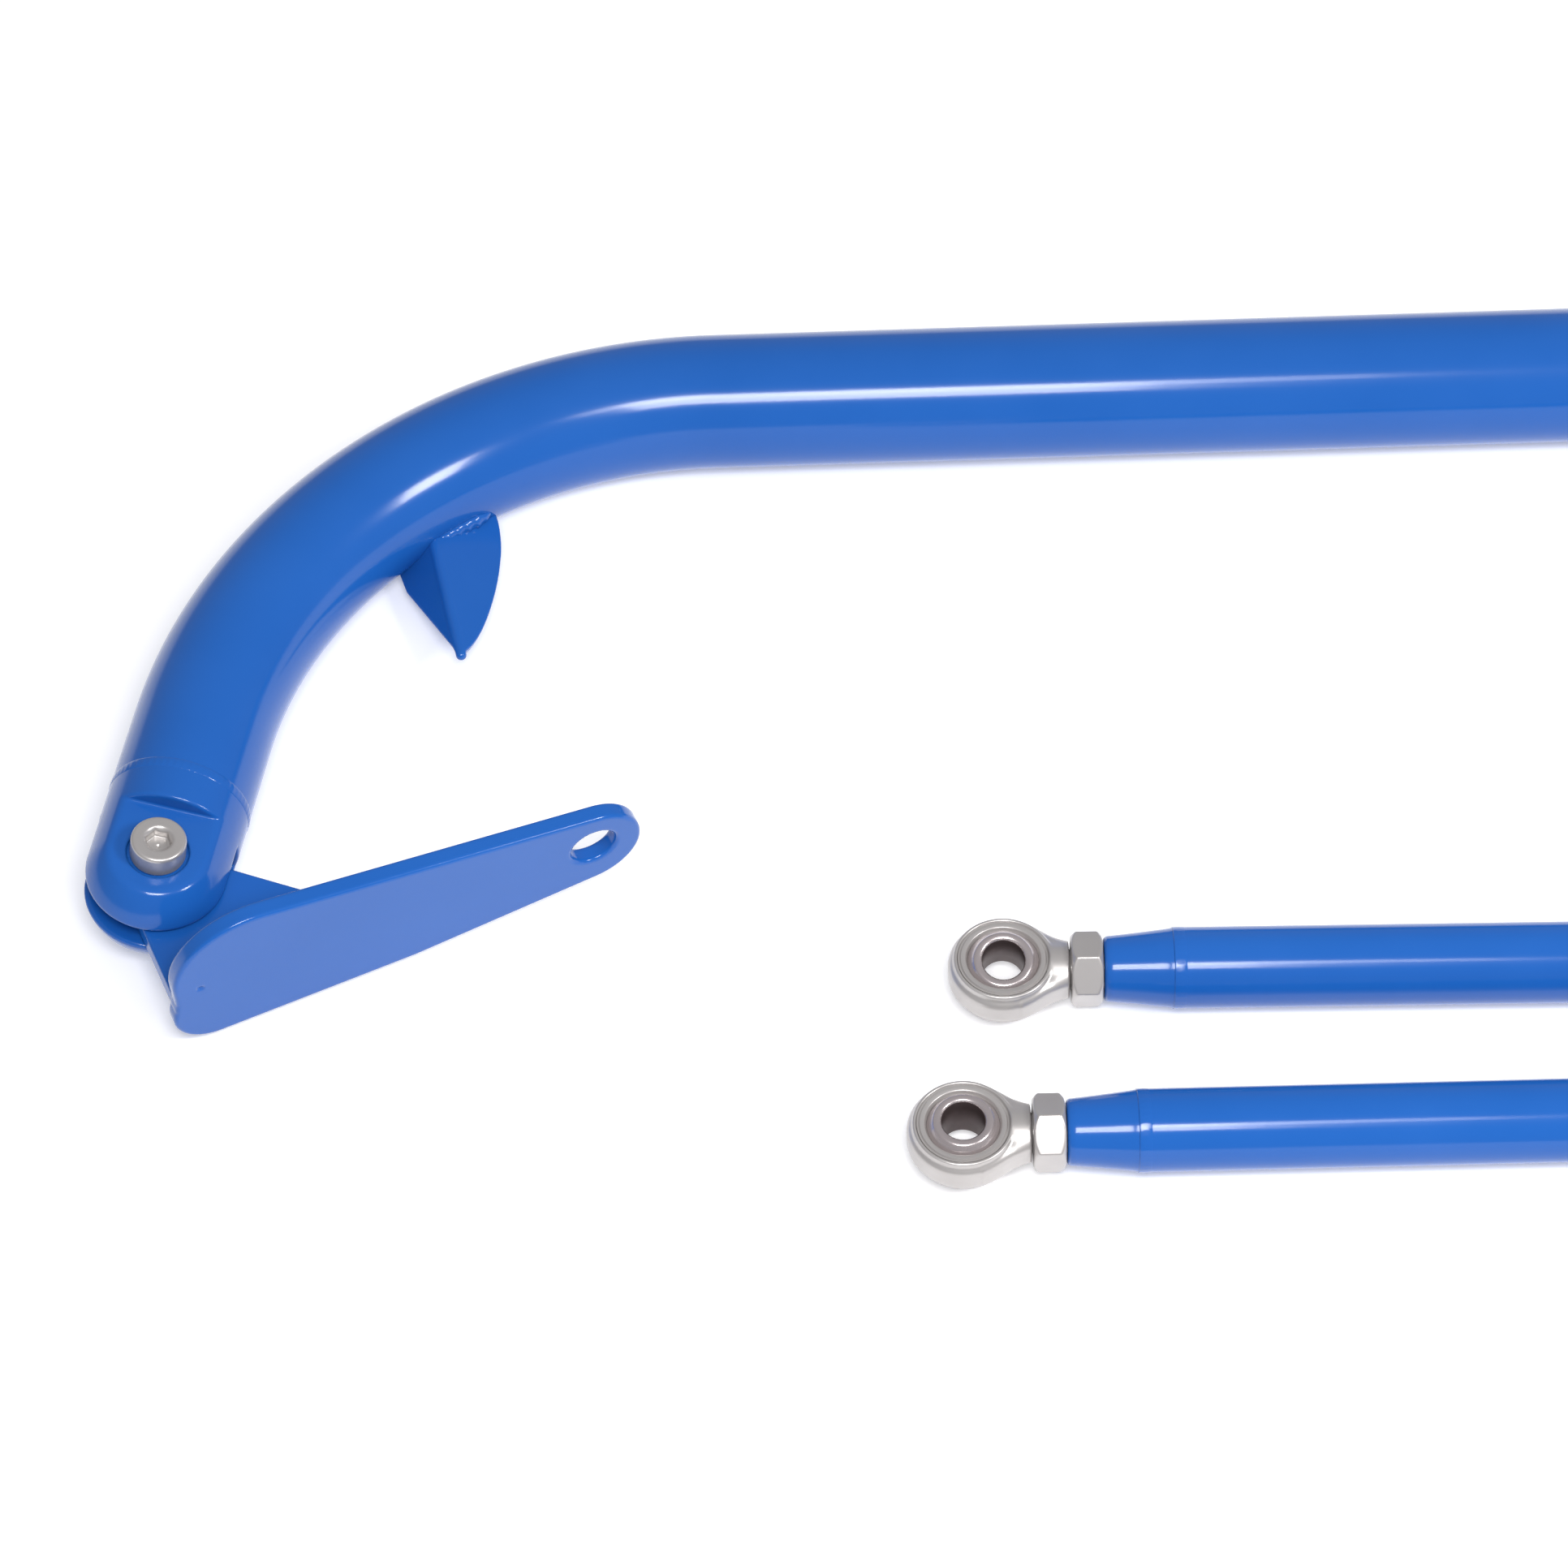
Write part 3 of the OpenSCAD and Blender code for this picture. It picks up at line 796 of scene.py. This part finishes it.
def end_place(which, side):
    """Ball centre of a rod end, with X towards the middle of its rod."""
    tilt = JOINTS["ball_%s_%s_tilt" % (which, side)]
    inward = 1 if side == "left" else -1
    where = place(tilt["pos_m"], Vector(tilt["axis"]), (0, 0, 1))
    return where @ Matrix.Scale(inward, 4, (1, 0, 0))


def rod_tube(rod_r, span):
    """A plain tube with its wall, between the two bung seams."""
    inner = rod_r - ROD_WALL
    stations = np.linspace(0, span, 25)
    profile = [(x, rod_r) for x in stations] + [(x, inner) for x in stations[::-1]]
    return lathe(profile, ROUND_TURNS)


def bung_mesh(rod_r):
    """A tapered bung with an eased small end, its spigot let into the tube and a bore through."""
    r, inner, bore = rod_r - 0.02, rod_r - ROD_WALL - 0.05, SHANK_R + THREAD_PLAY
    small, spigot_end, swell = BUNG_SMALL_R, BUNG_L + BUNG_SPIGOT, 1.15
    nose = [(0.0, bore), (0.0, small - 0.9), (0.25, small - 0.3), (0.9, small + 0.05)]
    taper = [(BUNG_L * t, small + (r - small) * (t ** swell)) for t in np.linspace(0.12, 0.86, 10)]
    back = [(BUNG_L - 1.2, r), (BUNG_L, r), (BUNG_L, inner), (spigot_end, inner),
            (spigot_end, bore)]
    return lathe(nose + taper + back, ROUND_TURNS)


def nut_shape(p):
    """A thin hexagon nut with chamfered corners."""
    x, y, z = p.T
    across = np.max([y * math.cos(a) + z * math.sin(a) for a in HEX + math.pi / 6], 0)
    d = blend_max(across - NUT_AF / 2, np.abs(x) - NUT_T / 2, 0.3)
    radial = np.hypot(y, z)
    cone = (radial - NUT_AF / 2 + 0.1 + (np.abs(x) - NUT_T / 2) * 1.1) / 1.5
    d = blend_max(d, cone, 0.3)
    return blend_max(d, SHANK_R + THREAD_PLAY - radial, 0.3)


def rod_end_shape(p):
    """A rod end: eye with a raised boss, tapering neck, collar and the core of its shank."""
    x, y, z = p.T
    radial = np.hypot(x, y)
    rim = slab(radial - EYE_R, z, RIM_W / 2, 2.6)
    boss = slab(radial - BOSS_R, z, BOSS_W / 2, 0.5)
    side = (np.abs(y) - NECK_HALF_W + NECK_TAPER * (x - NECK_FROM)) / NECK_SLANT
    web = slab(side, z, RIM_W / 2, 2.6)
    collar = np.maximum(np.hypot(y, z) - COLLAR_R, COLLAR_FROM - x)
    neck = np.maximum(blend_min(web, collar, 2.5), NECK_FROM - x)
    neck = np.maximum(neck, x - NUT_AT + 0.5)
    d = blend_min(blend_min(rim, neck, 1.6), boss, 0.7)
    shank = np.maximum(np.hypot(y, z) - SHANK_R + 0.5, np.maximum(10 - x, x - SHANK_END + 0.5))
    d = blend_min(d, shank, 0.8)
    return blend_max(d, RACE_R - radial, 0.4)


def thread_mesh():
    """Thread along the shank: a fine helix cut to a V, with closed ends."""
    turns = int(48 / COARSE)
    along = np.arange(NUT_AT - 0.4, SHANK_END, THREAD_PITCH / 8 * COARSE)
    angles = np.arange(turns) * 2 * math.pi / turns
    phase = (along[:, None] / THREAD_PITCH - angles[None, :] / (2 * math.pi)) % 1
    to_end = np.minimum(along - along[0], along[-1] - along)
    ease = np.clip(to_end / THREAD_FADE, 0, 1)[:, None]
    radius = SHANK_R - 0.03 - THREAD_DEPTH * (1 - ease * (1 - np.abs(2 * phase - 1)))
    rows = np.stack([np.repeat(along[:, None], turns, 1), radius * np.cos(angles),
                     radius * np.sin(angles)], -1)
    sides = [list(face) for face in grid_faces(len(along), turns, wrap_rows=False)]
    first = list(range(turns))[::-1]
    last = [(len(along) - 1) * turns + k for k in range(turns)]
    return rows.reshape(-1, 3), sides + [first, last]


def upright(mesh):
    """A mesh turned round local X, stood up so that its axis is local Z."""
    points, faces = mesh
    return points @ np.array([[0, 0, 1], [0, 1, 0], [-1, 0, 0]]), faces


def race_mesh():
    """Race: outside fitted to the eye, inside ground to the ball, with a groove on each face."""
    half = BOSS_W / 2
    bowl = BALL_R + 0.05
    lip = math.degrees(math.asin((half - 1.1) / bowl))
    inner = [(y, x) for x, y in arc((0, 0), bowl, lip, -lip, 24)]
    mouth = bowl * math.cos(math.radians(lip))
    lead_in = [(mouth + 0.25, half - 0.9), (mouth + 0.4, half - 0.15), (mouth + 0.6, half)]
    groove = [(RACE_R - 0.9, half), (RACE_R - 0.6, half - 0.45), (RACE_R - 0.3, half - 0.45),
              (RACE_R - 0.05, half - 0.1)]
    face = lead_in + groove
    profile = inner + [(-y, x) for x, y in face] + [(y, x) for x, y in reversed(face)]
    return upright(lathe(profile, BEARING_TURNS))


def ball_mesh():
    """A ball with flat ends and a bore with eased mouths."""
    half = BALL_W / 2
    cut = math.degrees(math.asin(half / BALL_R))
    outer = [(y, x) for x, y in arc((0, 0), BALL_R, -cut + 1, cut - 1, 40)]
    flat_r = BALL_R * math.cos(math.radians(cut))
    face = [(half, flat_r - 0.25), (half, BORE_R + 0.55), (half - 0.5, BORE_R)]
    profile = outer + face + [(-x, r) for x, r in reversed(face)]
    return upright(lathe(profile, BEARING_TURNS))


def paint_bore_shade(ball, where):
    """Gives the faces of a ball's bore a darker copy of the steel: painted shade inside the bore.
    """
    ball.data.materials.append(BORE_SHADE)
    to_local = where.inverted()
    for face in ball.data.polygons:
        center = to_local @ face.center
        if math.hypot(center.x, center.y) < BORE_R + 0.1:
            face.material_index = 1


def support_rods():
    """Both rods, each with a bung, seam, nut, rod end, thread, race and ball at either end."""
    low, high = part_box("rod_tube_back")
    rod_r = (high.z - low.z) / 2 / MM
    bung, corner = bung_mesh(rod_r), NUT_AF * 0.6
    nut = surface_net(nut_shape, (-NUT_T / 2, -corner, -corner), (NUT_T / 2, corner, corner), 0.34)
    eye = surface_net(rod_end_shape, (-EYE_R, -EYE_R, -6), (SHANK_END, EYE_R, 6), 0.42)
    seam = seam_ring(rod_r - 0.05, **BUNG_SEAM)
    thread, race, ball = thread_mesh(), race_mesh(), ball_mesh()
    for which in ("back", "front"):
        ends = [Vector(JOINTS["ball_%s_%s_tilt" % (which, side)]["pos_m"]) for side in SIDES]
        span = (ends[1] - ends[0]).length / MM - 2 * SEAM_AT
        start = end_place(which, "left") @ Matrix.Translation((SEAM_AT, 0, 0))
        add_piece("tube_" + which, rod_tube(rod_r, span), start, BLUE, "rod_" + which, BLUE_SLOT,
                  "rod_tube_" + which, sharp=40)
        for side in SIDES:
            tag = "%s_%s" % (which, side)
            where = end_place(which, side)
            rod, eye_body = "rod_" + which, "eye_" + tag
            at_bung, at_seam = (where @ Matrix.Translation((x, 0, 0)) for x in (BUNG_AT, SEAM_AT))
            at_nut = where @ Matrix.Translation((NUT_AT + NUT_T / 2, 0, 0)) @ nut_turn(which)
            add_piece("threaded_bung_" + tag, bung, at_bung, BLUE, rod, BLUE_SLOT, "bung_" + tag,
                      sharp=50)
            add_piece("bung_seam_" + tag, seam, at_seam, BLUE, rod, BLUE_SLOT, "bung_weld_" + tag)
            add_piece("hex_nut_" + tag, nut, at_nut, ZINC, rod, ZINC_SLOT, "jam_nut_" + tag)
            add_piece("eye_body_" + tag, eye, where, ZINC, eye_body, ZINC_SLOT, "rod_end_" + tag)
            add_piece("shank_thread_" + tag, thread, where, ZINC, eye_body, ZINC_SLOT)
            add_piece("bearing_race_" + tag, race, where, ZINC, eye_body, ZINC_SLOT,
                      "race_" + tag, sharp=50)
            bore = MOUNTS["ball_bore_" + tag]
            lean = place(bore["pos_m"], JOINTS["ball_%s_tilt" % tag]["axis"], bore["axis"])
            swivel = add_piece("bearing_ball_" + tag, ball, lean, STEEL, "swivel_ball_" + tag,
                               ZINC_SLOT, "ball_" + tag, sharp=50)
            # The bore's faces get the darker steel, which is painted shade.
            paint_bore_shade(swivel, lean)


def nut_turn(which):
    """How far each rod's nuts stand turned about the rod."""
    return Matrix.Rotation(math.radians(NUT_TURN[which]), 4, "X")


# ---------------------------------------------------------------- floor, light and camera

def plain_material(name, color, roughness, glow):
    """A matt material with a faint glow, for the floor only."""
    material = bpy.data.materials.new(name)
    material.use_nodes = True
    shader = material.node_tree.nodes["Principled BSDF"]
    shader.inputs["Base Color"].default_value = (*color, 1)
    shader.inputs["Roughness"].default_value = roughness
    shader.inputs["Emission Color"].default_value = (1, 1, 1, 1)
    shader.inputs["Emission Strength"].default_value = glow
    return material


def floor():
    """A wide pale floor just under the pieces."""
    half, level = 9.0, -0.0002
    corners = [(x * half, y * half, level) for x, y in ((-1, -1), (1, -1), (1, 1), (-1, 1))]
    data = bpy.data.meshes.new("floor")
    data.from_pydata(corners, [], [(0, 1, 2, 3)])
    data.materials.append(plain_material("pale floor", (0.82, 0.82, 0.83), 0.9, glow=0.28))
    sheet = bpy.data.objects.new("floor", data)
    bpy.context.scene.collection.objects.link(sheet)


def soft_light(name, spot, aim, width, depth, power, mirrored=True):
    """An area light. One that isn't mirrored lights the pieces without showing as a highlight."""
    data = bpy.data.lights.new(name, "AREA")
    data.shape = "RECTANGLE"
    data.size, data.size_y, data.energy = width, depth, power
    lamp = bpy.data.objects.new(name, data)
    lamp.location = spot
    lamp.rotation_euler = (Vector(aim) - Vector(spot)).to_track_quat("-Z", "Y").to_euler()
    lamp.visible_glossy = mirrored
    bpy.context.scene.collection.objects.link(lamp)


def studio():
    """Two soft boxes over the front, a fill from above, a panel behind and a pale world."""
    soft_light("near box", (-0.42, -0.62, 0.95), (-0.40, 0.05, 0),
               width=0.38, depth=0.30, power=7.6)
    soft_light("near box spill", (-0.29, -0.52, 0.97), (-0.29, 0.05, 0),
               width=0.36, depth=0.14, power=1.3)
    soft_light("right box", (0.49, -0.42, 0.95), (-0.2, 0.05, 0),
               width=0.28, depth=0.34, power=9.0)
    soft_light("fill", (-0.2, -0.2, 2.2), (-0.2, 0.0, 0),
               width=3.0, depth=3.0, power=9, mirrored=False)
    soft_light("back panel", (-0.2, 2.4, 1.0), (-0.2, 0, 0),
               width=3.0, depth=0.8, power=6, mirrored=False)
    world = bpy.data.worlds.new("studio")
    world.use_nodes = True
    backdrop = world.node_tree.nodes["Background"]
    backdrop.inputs["Color"].default_value = (0.95, 0.95, 1.0, 1)
    backdrop.inputs["Strength"].default_value = 0.34
    bpy.context.scene.world = world
    bpy.context.scene.view_settings.view_transform = "Standard"


def camera():
    """High three-quarter view of the left end, from in front."""
    elevation, azimuth, roll = (math.radians(a) for a in (51.9, 0.34, -2.03))
    distance, field = 1.1916, math.radians(20.325138182)
    inside_pivot, before_bar = 0.16608, 0.12509
    target = Vector((BAR["pivot"].x + inside_pivot, BAR["y"] * MM - before_bar, 0))
    flat, rise = math.cos(elevation), math.sin(elevation)
    back = Vector((math.sin(azimuth) * flat, -math.cos(azimuth) * flat, rise))
    right = Vector((math.cos(azimuth), math.sin(azimuth), 0))
    up = back.cross(right)
    tilted_right = right * math.cos(roll) + up * math.sin(roll)
    tilted_up = up * math.cos(roll) - right * math.sin(roll)
    data = bpy.data.cameras.new("camera")
    data.sensor_fit = "HORIZONTAL"
    data.angle = field
    eye = bpy.data.objects.new("camera", data)
    eye.matrix_world = Matrix.Translation(target + back * distance) @ Matrix(
        (tilted_right, tilted_up, back)).transposed().to_4x4()
    bpy.context.scene.collection.objects.link(eye)
    bpy.context.scene.camera = eye


camera()
main_tube()
fork_end()
guide_fin()
anchor_bracket()
support_rods()
floor()
studio()
